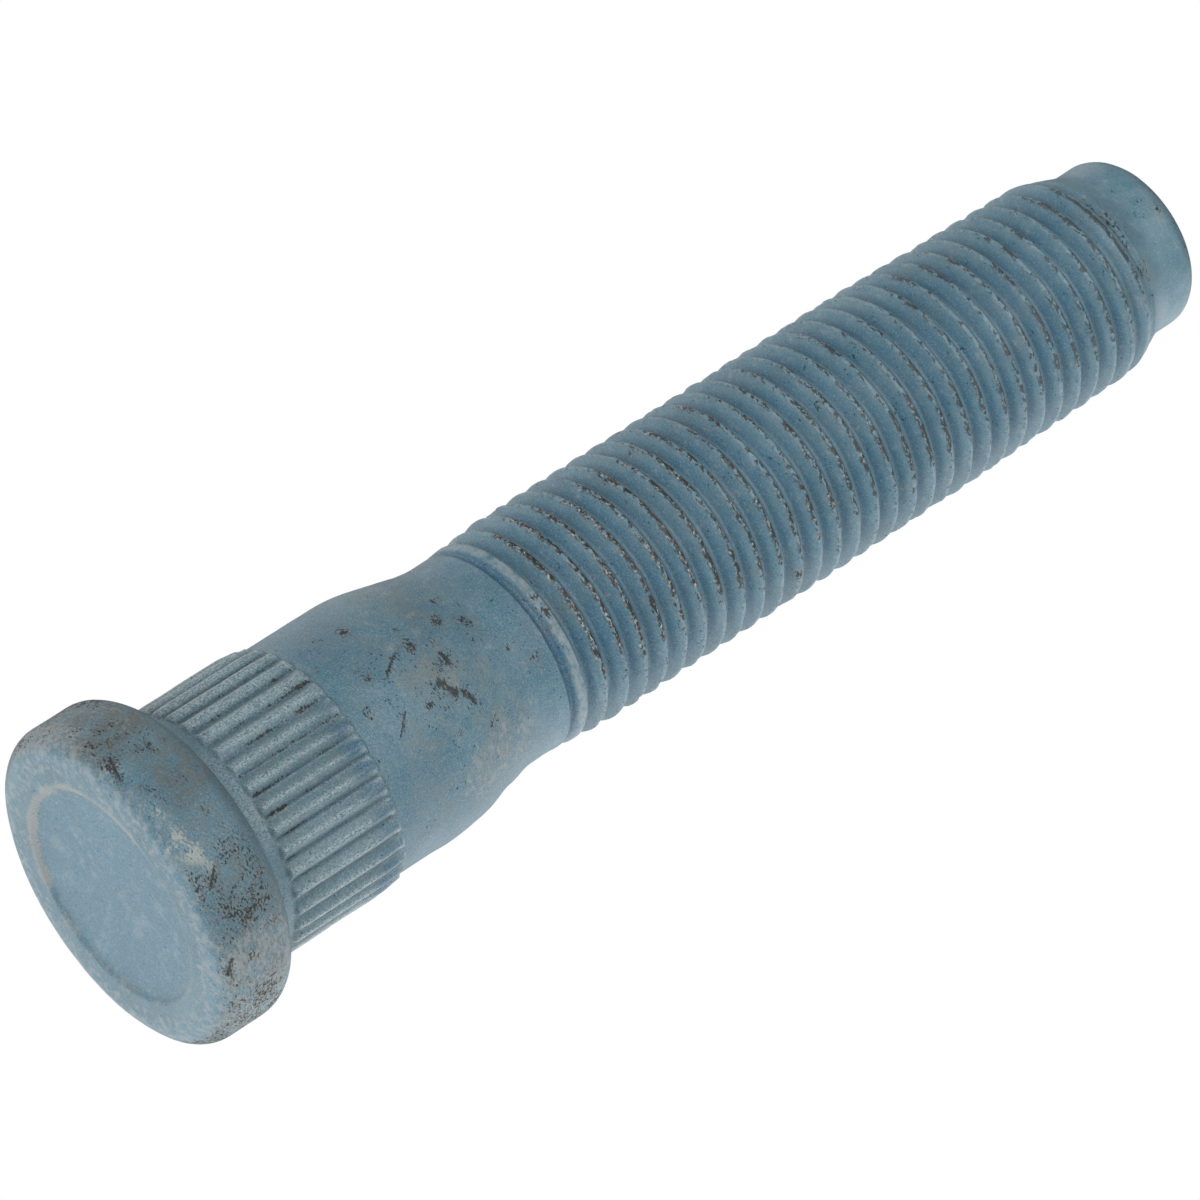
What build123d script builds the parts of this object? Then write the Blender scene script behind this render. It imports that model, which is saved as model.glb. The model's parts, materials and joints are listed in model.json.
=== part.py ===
"""Wheel stud: one piece of steel, cold-headed, serrated for a press fit and thread-rolled.

The stud stands on its head, with its axis on Z and its threaded end up. Lengths are in millimetres,
and Z = 0 is the end face of the head. The profile is turned once about Z, and one serration is
modelled and repeated around the shank.
"""

import os
from math import pi, radians, tan

from build123d import *

# Head: a thick round disc with rounded edges and a shallow recess in its end face
head_d = 20.0
head_h = 5.35
head_end_edge_r = 1.5
head_back_edge_r = 1.6
seat_ring_w = 0.4
recess_d = 13.6
recess_depth = 0.25
underhead_chamfer = 0.45

# Shank: plain behind the serrations, then tapered to a neck as thick as the blank of the thread
shank_d = 15.1
shank_l = 15.15
taper_l = 4.7
taper_blend_r = 10.0
neck_d = 12.85
neck_l = 2.6

# Thread: M14 x 1.5 right-hand, modelled as the surface that its crests touch
thread_d = 13.7
thread_l = 37.0
runout_l = 3.2
lead_d = 12.9
lead_l = 6.2

# Pilot: the smooth tip that lines the nut up, below a conical shoulder
shoulder_l = 2.2
pilot_d = 11.0
pilot_l = 2.9
pilot_edge_r = 1.3

# Serrations: straight ribs around the shank, which bite into the hub when the stud is pressed in
rib_count = 36
rib_h = 0.375
rib_gap = 0.3
rib_flank_angle = 30
rib_edge = 0.1
rib_nose = 0.3
rib_root_sink = 0.15
rib_from_seat = 1.35
rib_l = 7.65
rib_ramp_l = 1.5
rib_ramp_end_h = 0.12

# Heights, stacked up from the end face of the head
seat_z = head_h
taper_z = seat_z + shank_l
neck_z = taper_z + taper_l
runout_z = neck_z + neck_l
thread_z = runout_z + runout_l
lead_z = thread_z + thread_l
shoulder_z = lead_z + lead_l
pilot_z = shoulder_z + shoulder_l
stud_l = pilot_z + pilot_l

# One serration: a bar with sloped flanks, a nose towards the head and a ramp towards the thread that
# ends in a low step. Its root is sunk a little into the shank, where its flanks make it wider.
shank_r = shank_d / 2
rib_tip_r = shank_r + rib_h
rib_root_r = shank_r - rib_root_sink
rib_root_w = 2 * pi * shank_r / rib_count - rib_gap + 2 * rib_root_sink * tan(radians(rib_flank_angle))
rib_z = seat_z + rib_from_seat
rib_end_z = rib_z + rib_l
with BuildPart() as rib:
    with BuildSketch(Plane.YZ.offset(rib_root_r)) as footprint:
        with Locations((0, rib_z)):
            Rectangle(rib_root_w, rib_l, align=(Align.CENTER, Align.MIN))
        chamfer(footprint.vertices().group_by(Axis.Z)[0], rib_nose)
    extrude(amount=rib_tip_r - rib_root_r, taper=rib_flank_angle)
    tip_face = rib.faces().sort_by(Axis.X)[-1]
    chamfer(tip_face.edges().filter_by(Axis.Z), rib_edge)
    with BuildSketch(Plane.XZ) as ramp:
        with BuildLine():
            Polyline(
                (rib_tip_r, rib_end_z - rib_ramp_l),
                (shank_r + rib_ramp_end_h, rib_end_z),
                (rib_tip_r + rib_ramp_l, rib_end_z),
                close=True,
            )
        make_face()
    extrude(amount=rib_root_w, both=True, mode=Mode.SUBTRACT)

# The stud: its profile turned about Z, with the serrations spaced evenly around the shank.
# Each corner of the profile is a radius, a height and the rounding that it gets. The rounding at the
# back of the head leaves at least the flat ring that seats on the hub.
seat_r = shank_r + underhead_chamfer
back_edge_r = min(head_back_edge_r, head_d / 2 - seat_r - seat_ring_w)
with BuildPart() as wheel_stud:
    with BuildSketch(Plane.XZ) as section:
        with BuildLine():
            corners = [
                (recess_d / 2 - recess_depth, recess_depth, 0),
                (recess_d / 2, 0, 0),
                (head_d / 2, 0, head_end_edge_r),
                (head_d / 2, seat_z, back_edge_r),
                (seat_r, seat_z, 0),
                (shank_r, seat_z + underhead_chamfer, 0),
                (shank_r, taper_z, taper_blend_r),
                (neck_d / 2, neck_z, taper_blend_r),
                (neck_d / 2, runout_z, 0),
                (thread_d / 2, thread_z, 0),
                (thread_d / 2, lead_z, 0),
                (lead_d / 2, shoulder_z, 0),
                (pilot_d / 2, pilot_z, 0),
                (pilot_d / 2, stud_l, pilot_edge_r),
            ]
            outline = [(radius, height) for radius, height, _ in corners]
            roundings = [rounding for _, _, rounding in corners]
            FilletPolyline((0, recess_depth), *outline, (0, stud_l), radius=roundings)
            Line((0, stud_l), (0, recess_depth))
        make_face()
    revolve(axis=Axis.Z)
    with PolarLocations(0, rib_count):
        add(rib.part)

wheel_stud.part.label = "wheel_stud"
os.makedirs("parts", exist_ok=True)
export_step(wheel_stud.part, "parts/wheel_stud.step")
print(f"wheel stud {stud_l:.1f} mm long, {wheel_stud.part.volume:.0f} mm3 of steel")
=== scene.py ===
# %% [markdown]
# # A worn wheel stud
# A wheel stud is one piece of steel. It is pressed into a hub from behind, and a lug nut runs down its
# thread to hold the wheel. This one has a blue coating, worn through along the crests of the thread and
# speckled with dirt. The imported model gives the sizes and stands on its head, with the axis on Z. This
# lesson makes the surface that the eye sees: the rounded serrations, the true helix of the thread, the
# small dents of use, and a finish that changes over all of them.

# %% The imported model
import json
from math import cos, radians, sin

import bmesh
import bpy
import numpy as np
from mathutils import Matrix, Vector


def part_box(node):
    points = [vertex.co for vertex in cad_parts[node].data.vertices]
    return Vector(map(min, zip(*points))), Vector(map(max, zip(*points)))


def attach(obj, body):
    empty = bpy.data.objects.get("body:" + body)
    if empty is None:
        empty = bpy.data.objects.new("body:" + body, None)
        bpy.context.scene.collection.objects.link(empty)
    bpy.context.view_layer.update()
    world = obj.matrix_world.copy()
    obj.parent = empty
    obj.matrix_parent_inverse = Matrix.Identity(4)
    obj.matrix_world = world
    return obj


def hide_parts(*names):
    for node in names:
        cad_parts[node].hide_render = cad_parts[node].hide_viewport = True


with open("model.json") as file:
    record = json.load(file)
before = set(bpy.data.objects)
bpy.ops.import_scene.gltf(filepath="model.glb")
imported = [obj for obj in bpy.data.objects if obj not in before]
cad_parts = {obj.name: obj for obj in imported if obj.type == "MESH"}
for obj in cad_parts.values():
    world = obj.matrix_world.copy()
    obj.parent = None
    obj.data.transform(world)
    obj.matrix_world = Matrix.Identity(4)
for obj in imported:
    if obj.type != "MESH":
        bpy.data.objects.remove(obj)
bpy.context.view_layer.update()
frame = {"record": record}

low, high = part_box("wheel_stud")
MM = 0.001
stud_l = (high.z - low.z) / MM
head_r = high.x / MM
print(f"packed stud: {stud_l:.1f} mm long, head {2 * head_r:.1f} mm across")

# %% [markdown]
# ## The camera
# The photograph was taken with a long lens, looking at the head and along the stud. Four things place such
# a camera: how far it goes round the stud (azimuth), how far it stands above or below it (elevation), how
# it is tilted about its own line of sight (roll), and where the middle of the head lies in its view. The
# stud stands on its head here, so the same view comes from below. A camera can be aimed by eye, but these
# numbers were fitted to the outline of the stud, which is closer.

# %% Camera
photo_px = 1200
focal_px = 7272.0
azimuth = radians(-3.0)
elevation = radians(-28.306)
roll = radians(57.185)
head_right, head_up, head_away = -26.733 * MM, -16.151 * MM, 396.401 * MM

back = Vector((sin(azimuth) * cos(elevation), -cos(azimuth) * cos(elevation), sin(elevation)))
level_right = Vector((cos(azimuth), sin(azimuth), 0.0))
level_up = back.cross(level_right)
right = cos(roll) * level_right + sin(roll) * level_up
up = cos(roll) * level_up - sin(roll) * level_right

camera = bpy.data.objects.new("photo_camera", bpy.data.cameras.new("photo_camera"))
camera.data.sensor_width = 36.0
camera.data.lens = camera.data.sensor_width * focal_px / photo_px
facing = Matrix((right, up, back)).transposed().to_4x4()
camera.matrix_world = Matrix.Translation(head_away * back - head_right * right - head_up * up) @ facing
bpy.context.scene.collection.objects.link(camera)
bpy.context.scene.camera = camera
print(f"lens {camera.data.lens:.0f} mm, camera {camera.location.length / MM:.0f} mm from the head")

# %% [markdown]
# ## The blank
# Before its serrations and thread are rolled, a stud is a turned blank: head, shank, taper, neck and tip.
# Its outline is a short list of corners, each with the radius that rounds it. A corner becomes an arc that
# touches both of its sides. Along the thread the outline is the surface that the crests touch. They are a
# little below their full size, because nuts have worn them. Blender's Spin tool could turn a drawn profile.
# Here the outline stays a list of numbers, because ribs and thread are worked into the same surface later.

# %% Outline of the blank
mounts = {mount["name"]: mount for mount in frame["record"]["mounts"]}
seat_z = mounts["hub_seat"]["pos_m"][2] / MM
recess_r, recess_depth, recess_edge_r = 6.8, 0.25, 0.3
end_edge_r, back_edge_r, underhead_r = 1.5, 1.6, 0.45
shank_r, shank_blend_r = 7.55, 10.0
neck_r, neck_blend_r = 6.42, 8.0
taper_z, neck_z, thread_z = 20.75, 25.4, 27.5
crest_r = mounts["lug_thread"]["dims"]["r_mm"] - 0.04
crest_z, lead_z, lead_r = 31.5, 60.0, 6.53
shoulder_z, pilot_z = 73.6, 76.25
pilot_r, pilot_edge_r = mounts["pilot"]["dims"]["r_mm"], 1.3


def rounded_outline(corners, step):
    """Points at most step apart along straight sides whose corners (radius, height, rounding) are arcs.

    An arc starts and ends at the distance rounding * tan(turn / 2) from its corner, on either side.
    """
    stops = [np.array(corners[0][:2])]
    for before, corner, after in zip(corners, corners[1:], corners[2:]):
        here, rounding = np.array(corner[:2]), corner[2]
        to_back = np.array(before[:2]) - here
        to_front = np.array(after[:2]) - here
        to_back = to_back / np.linalg.norm(to_back)
        to_front = to_front / np.linalg.norm(to_front)
        turn = np.pi - np.arccos(np.clip(to_back @ to_front, -1, 1))
        reach = rounding * np.tan(turn / 2)
        middle = to_back + to_front
        centre = here + middle / np.linalg.norm(middle) * rounding / np.cos(turn / 2)
        start, end = here + reach * to_back - centre, here + reach * to_front - centre
        part = np.linspace(0, 1, 2 + int(np.ceil(rounding * turn / step)))[:, None]
        arc = np.sin((1 - part) * turn) * start + np.sin(part * turn) * end
        stops.extend(centre + arc / np.sin(turn))
    stops.append(np.array(corners[-1][:2]))
    sides = []
    for here, there in zip(stops, stops[1:]):
        pieces = max(1, int(np.ceil(np.linalg.norm(there - here) / step)))
        sides.append(here + (there - here) * np.arange(pieces)[:, None] / pieces)
    return np.concatenate(sides + [stops[-1][None]])


head_outline = rounded_outline([
    (0.0, recess_depth, 0),
    (recess_r - recess_depth, recess_depth, recess_edge_r),
    (recess_r, 0.0, recess_edge_r),
    (head_r, 0.0, end_edge_r),
    (head_r, seat_z, back_edge_r),
    (shank_r, seat_z, underhead_r),
    (shank_r, 6.1, 0),
], 0.3)
wall_outline = rounded_outline([
    (shank_r, 6.1, 0),
    (shank_r, taper_z, shank_blend_r),
    (neck_r, neck_z, neck_blend_r),
    (neck_r, thread_z, 2.0),
    (crest_r, crest_z, 6.0),
    (crest_r, lead_z, 40.0),
    (lead_r, shoulder_z, 3.0),
    (pilot_r, pilot_z, 3.0),
    (pilot_r, stud_l, pilot_edge_r),
    (0.0, stud_l, 0),
], 0.18)
print(f"outline: {len(head_outline)} points on the head, {len(wall_outline)} on the rest")

# %% [markdown]
# ## The serrations
# Thirty-six straight ribs stand around the shank. Each starts with a rounded nose near the head, has a
# narrow round crown, and slopes down to a low round tongue at the other end. Seen from above, a rib is a bar
# with round corners. The distance from a point inside that bar to its edge says how high the rib is there,
# so the nose, the tongue and both flanks round off by themselves. The roll that pressed the ribs ran a
# little further on one side of the shank, where they end later. An Array modifier could repeat one rib, but
# the copies would have to be joined to the shank. A height over the shank needs no joining.


# %% Rib height
def rise(x, start, end):
    """0 before start, 1 after end, and the smooth curve 3t^2 - 2t^3 between them."""
    t = np.clip((x - start) / (end - start), 0.0, 1.0)
    return t * t * (3 - 2 * t)


rib_count = 36
rib_h = mounts["serrations"]["dims"]["r_mm"] - shank_r
rib_start, rib_end, rib_late, rib_ramp_l = 6.7, 14.35, 0.75, 1.7
rib_half_w, rib_corner_r, crown_softness = 0.57, 0.34, 0.3
tongue_share, end_steepness = 0.62, 2.3


def rib_stops(angle):
    """Height at which the ribs end: rib_end, and up to rib_late more around the angle 0."""
    return rib_end + rib_late * np.maximum(np.cos(angle), 0) ** 4


def inside_rib(angle, height):
    """Distance to the edge of the nearest rib, seen from above: positive inside and negative outside it.

    A rib is a bar with round corners. Lengths along the stud count end_steepness times, which makes its
    ends steeper.
    """
    pitch_angle = 2 * np.pi / rib_count
    across = np.abs((angle / pitch_angle + 0.5) % 1.0 - 0.5) * pitch_angle * shank_r
    middle, half_l = (rib_stops(angle) + rib_start) / 2, (rib_stops(angle) - rib_start) / 2
    over_x = across - (rib_half_w - rib_corner_r)
    over_z = end_steepness * (np.abs(height - middle) - half_l) + rib_corner_r
    outside = np.hypot(np.maximum(over_x, 0), np.maximum(over_z, 0))
    return rib_corner_r - outside - np.minimum(np.maximum(over_x, over_z), 0)


def rib_height(angle, height):
    """Height of the ribs over the shank: a hyperbola of the distance to the edge.

    Its flanks are nearly straight and its crown is a narrow curve, wider with crown_softness.
    The ramp falls from rib_h to the tongue's share of it along rib_ramp_l.
    """
    to_crown = 1 - np.clip(inside_rib(angle, height) / rib_half_w, 0, 1)
    foot = np.hypot(1, crown_softness)
    crown = (foot - np.hypot(to_crown, crown_softness)) / (foot - crown_softness)
    ramp = 1 - (1 - tongue_share) * rise(height, rib_stops(angle) - rib_ramp_l, rib_stops(angle))
    return rib_h * crown * ramp


print(f"{rib_count} ribs, {rib_h:.3f} mm high and {rib_end - rib_start:.2f} mm long")

# %% [markdown]
# ## The thread
# Along the axis a thread repeats every pitch, and one turn around the stud moves it up by one pitch. Here
# it is a groove sunk into the outline. The flanks stand at 60 degrees to each other, the root is round, and
# the crest keeps a narrow flat. Where the rolling dies enter and leave, they press in less deep, so the
# groove gets shallower and narrower, and the crest wider. A Screw modifier can carry a profile up a helix,
# but its ends stay open. A depth below the outline can fade out at both ends.

# %% Thread profile
thread_pitch, thread_depth, groove_edge_softness = 1.5, 0.9, 0.03
crest_at_angle_0 = 0.6625
groove_in, groove_full, groove_fading, groove_out = 26.8, 29.8, 71.5, 76.2


def fall(x, start, end):
    """1 before start and 0 after end: what a rise leaves of 1."""
    return 1 - rise(x, start, end)


def between(x, start, full, fading, end):
    """0 before start, 1 from full to fading, and 0 again after end: a rise times a fall."""
    return rise(x, start, full) * fall(x, fading, end)


def thread_phase(angle, height):
    """Place across one pitch: 0 on the crest and -0.5 or 0.5 at the root, for a right-hand helix."""
    return ((height - crest_at_angle_0) / thread_pitch - angle / (2 * np.pi) + 0.5) % 1.0 - 0.5


def groove_share(height):
    """How much of the full groove there is at a height: 0 beyond both run-outs and 1 between them."""
    return between(height, groove_in, groove_full, groove_fading, groove_out)


def groove_depth(angle, height):
    """Depth below the crests: flat top, straight flanks and round root, as shares of the full depth.

    A groove that is pressed in less deep is the same profile, lifted until only its lowest part cuts in.
    """
    place = np.abs(thread_phase(angle, height))
    sunk = np.interp(place, [0, 0.04, 0.07, 0.11, 0.37, 0.43, 0.5], [0, 0.01, 0.05, 0.14, 0.88, 0.98, 1.0])
    cut = sunk + groove_share(height) - 1
    return thread_depth * (cut + np.hypot(cut, groove_edge_softness)) / 2


print(f"groove: {thread_depth} mm deep every {thread_pitch} mm, from {groove_in} to {groove_out} mm")

# %% [markdown]
# ## Dents and lumps
# Nothing forged is perfectly even, and a used stud has been knocked about. A lattice of random heights,
# blended smoothly between its points, gives lumps of a chosen size. The lattice closes on itself around the
# stud, so no seam shows. The crests get deeper nicks where a second lattice is high. Dents could also be
# sculpted. Random numbers with a fixed seed give the same dents at every run.


# %% Lumps
def lumps(angle, along, size, seed):
    """Random heights from 0 to 1 on a lattice of angle and length, blended by the curve 3t^2 - 2t^3.

    One cell of the lattice is about size millimetres each way at the shank.
    """
    around = max(4, int(round(2 * np.pi * shank_r / size)))
    values = np.random.default_rng(seed).uniform(0.0, 1.0, (int(stud_l / size) + 4, around))
    a = np.mod(angle / (2 * np.pi), 1.0) * around
    b = np.clip(along / size + 1, 0, values.shape[0] - 2.001)
    a0, b0 = np.floor(a).astype(int), np.floor(b).astype(int)
    u, v = rise(a - a0, 0, 1), rise(b - b0, 0, 1)
    left, over = a0 % around, (a0 + 1) % around
    lower = values[b0, left] * (1 - u) + values[b0, over] * u
    upper = values[b0 + 1, left] * (1 - u) + values[b0 + 1, over] * u
    return lower * (1 - v) + upper * v


knocks = [(0, 19.0, 0.9, 0.06), (0, 22.3, 0.7, 0.07), (0, 24.5, 0.6, 0.09), (-20, 23.4, 0.5, -0.05)]


def wall_unevenness(angle, height):
    """Soft hollows, nicks in the crests, and the few knocks whose places are listed in degrees and mm."""
    soft = -0.03 * lumps(angle, height, 2.2, 1) - 0.015 * lumps(angle, height, 0.9, 2)
    on_crest = groove_share(height) * fall(np.abs(thread_phase(angle, height)), 0.06, 0.16)
    nicks = -0.07 * on_crest * rise(lumps(angle, height, 0.8, 3), 0.62, 0.95)
    total = soft + nicks
    for place, at_z, size, knock_h in knocks:
        away = (angle - radians(place) + np.pi) % (2 * np.pi) - np.pi
        across, along = away * shank_r / (3 * size), (height - at_z) / size
        total = total + knock_h * np.exp(-(across**2) - along**2)
    return total


print(f"{len(knocks)} knocks, the highest {max(knock[3] for knock in knocks)} mm")

# %% [markdown]
# ## One skin for the whole stud
# A grid of level rings suits the head, but on the thread every ring would cross the crest once, and the
# crest would come out as a row of steps. So on the thread the rows climb with the helix, one pitch in one
# turn, and each row keeps its place on the profile all the way round. After a full turn a row meets the
# row one pitch above where it began. The first and last turn are wedges that close the gap to level rings:
# their rows start in one point and fan out to a whole pitch. Where the thread begins, its groove is narrow,
# so the first turns get twice the rows. In the last of these turns each added row closes up on the row above
# it. The ribs need twice the columns, closest together on their crowns.

# %% Columns
rib_places = np.array([0, 0.09, 0.22, 0.4, 0.5, 0.6, 0.78, 0.91])
fine_turn = np.append((np.arange(rib_count)[:, None] + rib_places).ravel() / rib_count, 1.0)
turn = fine_turn[::2]
fine_columns, columns = len(fine_turn) - 1, len(turn) - 1
print(f"{columns} columns, and {fine_columns} across the ribs")

# %% Rows of the thread
thread_low = crest_at_angle_0 + 16.5 * thread_pitch
thread_turns = 33
profile_rows = np.array([0, 0.06, 0.13, 0.27, 0.39, 0.44, 0.5, 0.56, 0.61, 0.73, 0.87, 0.94])
between_rows = np.array([0.03, 0.09, 0.17, 0.21, 0.24, 0.31, 0.69, 0.76, 0.79, 0.83, 0.91, 0.97])
fine_turns = 3
all_rows = np.sort(np.append(profile_rows, between_rows))
next_rows = np.append(profile_rows, 1.0)
rows_above = next_rows[np.searchsorted(next_rows, between_rows)]

first_wedge = thread_low + thread_pitch * all_rows[:, None] * turn
turn_starts = np.append(np.arange(thread_turns - 1)[:, None] + profile_rows, thread_turns - 1)
fine_starts = np.arange(fine_turns)[:, None] + between_rows
fine_ends = fine_starts.copy()
fine_ends[-1] = fine_turns - 1 + rows_above
row_starts, row_ends = np.append(turn_starts, fine_starts), np.append(turn_starts, fine_ends)
in_order = np.argsort(row_starts)
row_starts, row_ends = row_starts[in_order, None], row_ends[in_order, None]
climbing = thread_low + thread_pitch * (row_starts * (1 - turn) + row_ends * turn + turn)
last_wedge = climbing[-1] + thread_pitch * (1 - turn) * np.append(profile_rows[1:], 1.0)[:, None]
thread_heights = np.concatenate([first_wedge, climbing, last_wedge])
thread_high = thread_heights[-1, 0]
print(f"thread: {len(thread_heights)} rows from {thread_low:.1f} to {thread_high:.1f} mm")


# %% [markdown]
# The head was upset from the end of the bar in one blow, and it sits about a tenth of a millimetre beside
# the axis of the shank. The skin is shifted by that much between the head and the tip.


# %% Grids
def ring_grid(radius, height, share_of_turn):
    """Points (radius cos a, radius sin a, height) of a grid, and its quads between rows and columns."""
    angle = 2 * np.pi * np.broadcast_to(share_of_turn, radius.shape)
    points = np.stack([radius * np.cos(angle), radius * np.sin(angle), height], axis=-1)
    rows, cols = radius.shape
    first = np.arange(rows - 1)[:, None] * cols + np.arange(cols - 1)
    quads = np.stack([first, first + 1, first + cols + 1, first + cols], axis=-1)
    return points.reshape(-1, 3), quads.reshape(-1, 4)


def halving(coarse_start, fine_start):
    """Triangles from a row of columns up to a row of twice as many: three above each coarse column."""
    coarse = coarse_start + np.arange(columns)
    fine = fine_start + 2 * np.arange(columns)
    return np.concatenate([
        np.stack([fine + 1, fine, coarse], axis=1),
        np.stack([fine + 2, fine + 1, coarse + 1], axis=1),
        np.stack([coarse, coarse + 1, fine + 1], axis=1),
    ])


# %% Grid of the head
head_along = np.append(0, np.cumsum(np.hypot(*np.diff(head_outline, axis=0).T)))
slope = np.gradient(head_outline, head_along, axis=0)
slope = slope / np.linalg.norm(slope, axis=1, keepdims=True)
head_turn, head_s = np.meshgrid(2 * np.pi * turn, head_along)
edge_r = head_outline[:, :1]
hollow = 0.045 * lumps(head_turn, head_s, 2.4, 4) + 0.02 * lumps(head_turn, head_s, 0.9, 5)
hollow = (hollow - hollow.min()) * rise(edge_r, 7, 9.5) * fall(head_outline[:, 1:], seat_z - 0.6, seat_z)
low_r = edge_r - slope[:, 1:] * hollow
low_z = head_outline[:, 1:] + slope[:, :1] * hollow
head_points, head_quads = ring_grid(low_r, low_z, turn)
print(f"head: {len(head_points)} points, hollows up to {hollow.max():.2f} mm")

# %% Grid of the ribs
nose_rows = np.array([6.3, 6.45, 6.58, 6.66, 6.72, 6.78, 6.86, 6.96, 7.08, 7.22, 7.4, 7.7])
plain_rows = np.arange(8.2, 12.4, 0.6)
ramp_rows = np.array([12.5, 12.8, 13.1, 13.4, 13.65, 13.85, 14.0, 14.1, 14.2, 14.28, 14.34, 14.42, 14.55])
late_rows = np.array([14.7, 14.85, 15.0, 15.1, 15.3])
rib_heights = np.concatenate([nose_rows, plain_rows, ramp_rows, late_rows])[:, None] + 0 * fine_turn
rib_angle = np.broadcast_to(2 * np.pi * fine_turn, rib_heights.shape)
rib_r = shank_r + rib_height(rib_angle, rib_heights) + wall_unevenness(rib_angle, rib_heights)
rib_points, rib_quads = ring_grid(rib_r, rib_heights, fine_turn)
print(f"ribs: {len(rib_points)} points, {2 * rib_r.max():.2f} mm over the crowns")

# %% Grid of the shank, the thread and the tip
shank_heights = np.linspace(15.6, thread_low, 28)[:-1, None] + 0 * turn
wall_heights = np.concatenate([shank_heights, thread_heights])
wall_angle = np.broadcast_to(2 * np.pi * turn, wall_heights.shape)
wall_r = np.interp(wall_heights, wall_outline[:, 1], wall_outline[:, 0])
wall_r = wall_r - groove_depth(wall_angle, wall_heights) + wall_unevenness(wall_angle, wall_heights)
tip_outline = wall_outline[wall_outline[:, 1] > thread_high + 0.05]
tip_angle, tip_z = np.meshgrid(2 * np.pi * turn, tip_outline[:, 1])
tip_even = wall_unevenness(tip_angle, tip_z) * rise(tip_outline[:, :1], 0, 5)
high_r = np.concatenate([wall_r, tip_outline[:, :1] + tip_even])
high_points, high_quads = ring_grid(high_r, np.concatenate([wall_heights, tip_z]), turn)
print(f"shank, thread and tip: {len(high_points)} points")

# %% Skin
beside_axis, beside_towards = 0.12, radians(-3.0)
rib_first = len(head_points)
high_first = rib_first + len(rib_points)
below_ribs = halving(rib_first - columns - 1, rib_first)
above_ribs = halving(high_first, high_first - fine_columns - 1)[:, ::-1]
points = np.concatenate([head_points, rib_points, high_points])
beside = beside_axis * (rise(points[:, 2], seat_z - 0.2, 6.4) - rise(points[:, 2], 73.5, pilot_z))
points[:, 0] += beside * cos(beside_towards)
points[:, 1] += beside * sin(beside_towards)
quads = np.concatenate([head_quads, rib_quads + rib_first, high_quads + high_first])
faces = quads.tolist() + below_ribs.tolist() + above_ribs.tolist()

skin = bpy.data.meshes.new("coated_stud")
skin.from_pydata(points * MM, [], faces)
weld_distance = 0.002 * MM
work = bmesh.new()
work.from_mesh(skin)
bmesh.ops.remove_doubles(work, verts=work.verts, dist=weld_distance)
open_edges = sum(not edge.is_manifold for edge in work.edges)
work.to_mesh(skin)
work.free()
skin.polygons.foreach_set("use_smooth", np.ones(len(skin.polygons), bool))
stud = bpy.data.objects.new("coated_stud", skin)
bpy.context.scene.collection.objects.link(stud)
triangles = sum(len(face.vertices) - 2 for face in skin.polygons)
print(f"skin: {len(skin.vertices)} points, {triangles} triangles, {open_edges} open edges")

# %% [markdown]
# ## Where the coating is worn, and where shade and highlights are painted
# The colour of a used part follows its shape. Dirt stays in the grooves and on the rim that is handled most,
# the tops of the ribs are rubbed to a pale grain, and nuts wear the crests of the thread. Some numbers also
# mark where shade and highlights are painted into the colour: in the grooves, at the neck, on the back edge
# of the head, on the ramps and ends of the ribs, on the upper-left ribs and on the rim. Each of these is a
# number from 0 to 1 at every point of the skin, worked out from the angle, the height and the radius there.
# The material reads the numbers and breaks them up into specks. Such numbers could be painted on by hand.
# Written down as places and formulas, they are the same at every run.

# %% Angle, height and radius of every point
spots_xyz = np.empty(3 * len(skin.vertices), np.float32)
skin.vertices.foreach_get("co", spots_xyz)
x, y, z = spots_xyz.reshape(-1, 3).T / MM
angle, radius = np.arctan2(y, x), np.hypot(x, y)
degrees = np.degrees(angle)


def smudges(marks):
    """Ragged spots, amount * exp(-(distance / size)^2), listed as degrees, height, size and amount."""
    ragged = 0.55 + 1.2 * lumps(angle, z, 0.7, 21)
    total = np.zeros(len(z))
    for place, at_z, size, amount in marks:
        arc = np.radians((degrees - place + 180) % 360 - 180) * radius
        distance = np.hypot(0.8 * arc, z - at_z) * ragged
        total = np.maximum(total, amount * np.exp(-(distance / size) ** 2))
    return total


def keep(name, values):
    """Store a number from 0 to 1 for every point of the skin, under a name that the material reads."""
    layer = skin.attributes.new(name, "FLOAT", "POINT")
    layer.data.foreach_set("value", np.clip(values, 0, 1).astype(np.float32))
    print(f"{name}: {100 * np.mean(values > 0.3):.1f} % of the points")


def near(place, half_width):
    """1 around an angle in degrees, falling to 0 at half_width on both sides."""
    return fall(np.abs((degrees - place + 180) % 360 - 180), 0.45 * half_width, half_width)


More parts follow.
